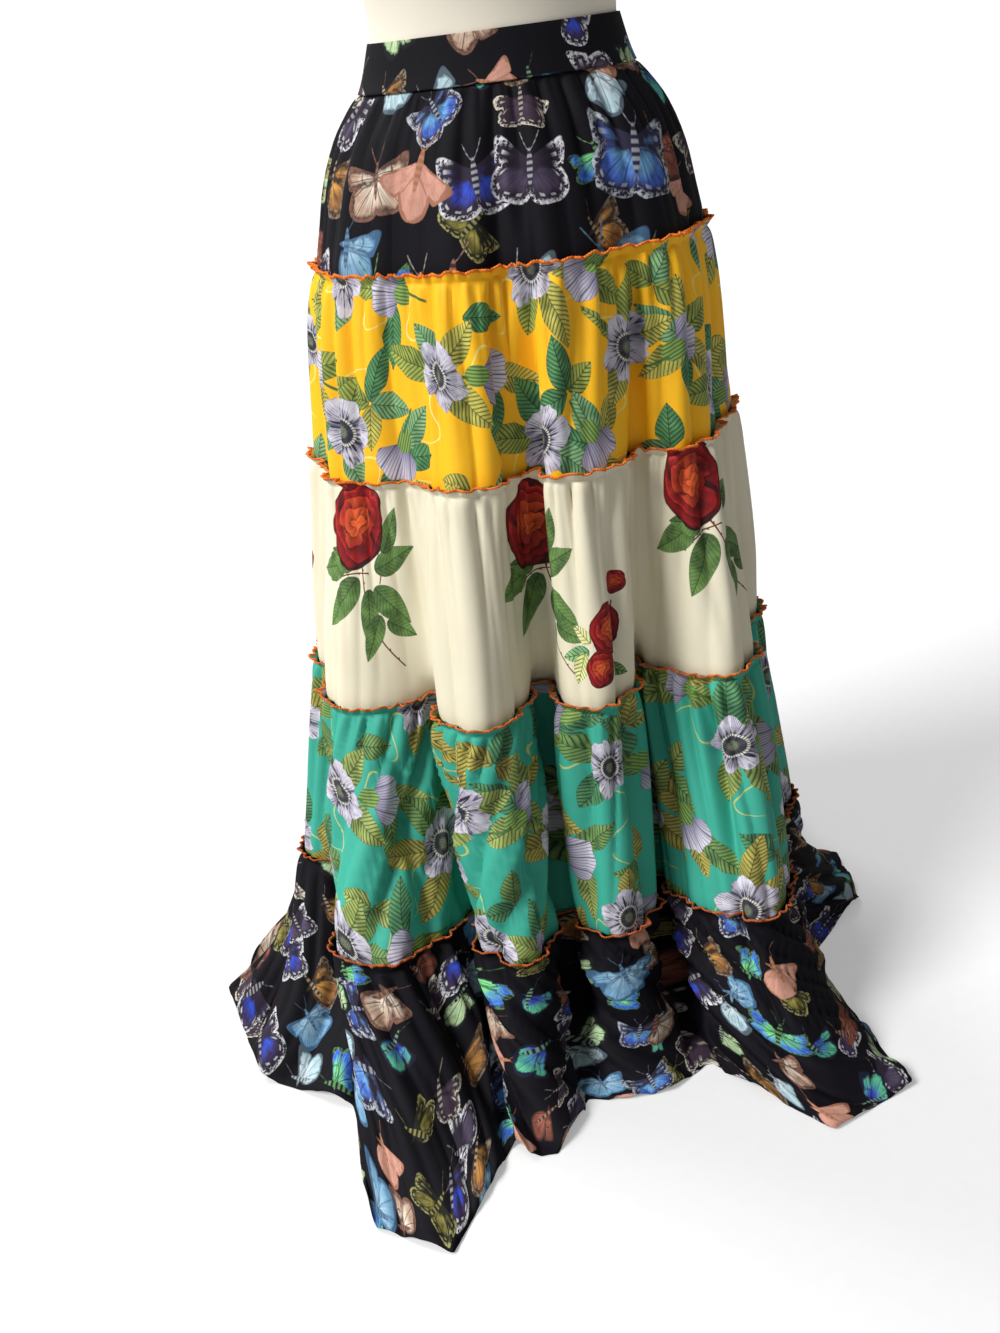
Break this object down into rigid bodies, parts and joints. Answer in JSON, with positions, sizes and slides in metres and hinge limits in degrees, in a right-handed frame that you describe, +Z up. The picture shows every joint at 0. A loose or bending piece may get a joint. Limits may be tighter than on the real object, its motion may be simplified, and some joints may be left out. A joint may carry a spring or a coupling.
{
  "type": "tiered ruffle skirt on dress form",
  "caption": "Full-length skirt of gathered tiers with raised header ruffles at each seam, worn by a limbless dress form on a pole and round base.",
  "frame": {"origin": "centre of the round base's underside, on the floor, under the form's pole", "axes": "+Z up along the pole, -Y the skirt's front, +X the viewer's right when facing the front (the wearer's left)"},
  "size_m": [0.7604, 0.9276, 1.476],
  "materials": {
    "butterfly_cloth": "light silky crepe, near-black with a butterfly and moth print",
    "yellow_floral_cloth": "light silky crepe, golden yellow with grey-lavender flowers and green leaves",
    "ivory_rose_cloth": "light silky crepe, ivory with large red roses",
    "turquoise_floral_cloth": "light silky crepe, turquoise with grey-lavender flowers and green leaves",
    "overlock_thread": "soft orange overlock thread",
    "form_jersey": "cream jersey, matte",
    "form_metal": "satin"
  },
  "bodies": {
    "root": {"waistband_front": "butterfly_cloth", "waistband_back": "butterfly_cloth", "tier1_front": "butterfly_cloth", "tier1_back": "butterfly_cloth", "tier2_front": "yellow_floral_cloth", "tier2_back": "yellow_floral_cloth", "tier3_front": "ivory_rose_cloth", "tier3_back": "ivory_rose_cloth", "tier4_front": "turquoise_floral_cloth", "tier4_back": "turquoise_floral_cloth", "tier5_front": "butterfly_cloth", "tier5_back": "butterfly_cloth", "form_torso": "form_jersey", "form_pole": "form_metal", "form_base": "form_metal"}
  },
  "joints": []
}
